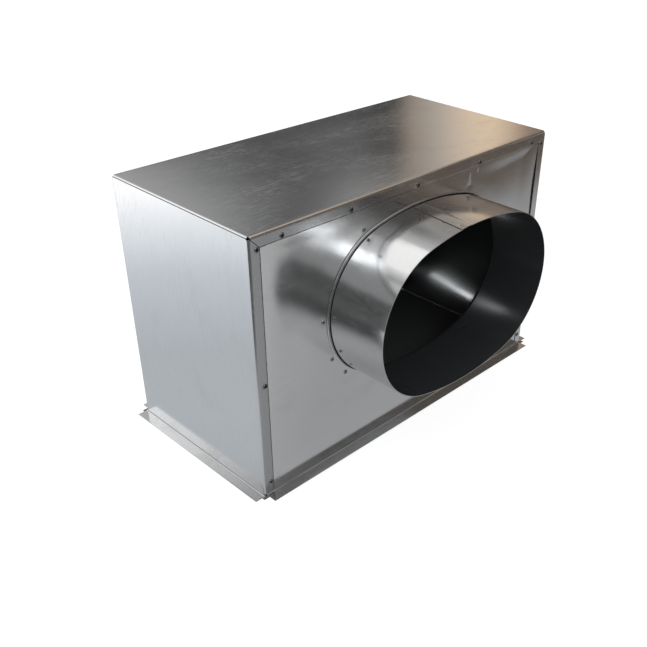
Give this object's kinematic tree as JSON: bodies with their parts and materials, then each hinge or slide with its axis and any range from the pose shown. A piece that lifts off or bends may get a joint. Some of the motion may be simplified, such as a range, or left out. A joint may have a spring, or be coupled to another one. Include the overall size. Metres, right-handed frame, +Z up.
{
  "type": "plenum box",
  "caption": "Folded galvanised sheet plenum box with an open flanged base and a riveted oval duct collar on its long side.",
  "frame": {"origin": "centre of the open bottom, level with the underside of its flanges", "axes": "+X along the box's length, -Y the way the oval collar faces, +Z up from the flanges to the closed top"},
  "size_m": [0.632, 0.405, 0.388],
  "materials": {
    "galvanised_sheet": "galvanised sheet, fine spangle, half-bright, with satin black paint on the inside faces",
    "rivet_aluminium": "plain dulled aluminium rivet bodies",
    "mandrel_steel": "dark broken steel mandrel"
  },
  "bodies": {
    "root": {"casing_wrap": "galvanised_sheet", "front_panel": "galvanised_sheet", "back_panel": "galvanised_sheet", "oval_collar": "galvanised_sheet", "rivets_front_top": "rivet_aluminium", "rivets_front_left": "rivet_aluminium", "rivets_front_right": "rivet_aluminium", "rivets_back_top": "rivet_aluminium", "rivets_back_left": "rivet_aluminium", "rivets_back_right": "rivet_aluminium", "rivets_collar": "rivet_aluminium", "rivet_mandrels_front_top": "mandrel_steel", "rivet_mandrels_front_left": "mandrel_steel", "rivet_mandrels_front_right": "mandrel_steel", "rivet_mandrels_back_top": "mandrel_steel", "rivet_mandrels_back_left": "mandrel_steel", "rivet_mandrels_back_right": "mandrel_steel", "rivet_mandrels_collar": "mandrel_steel"}
  },
  "joints": []
}
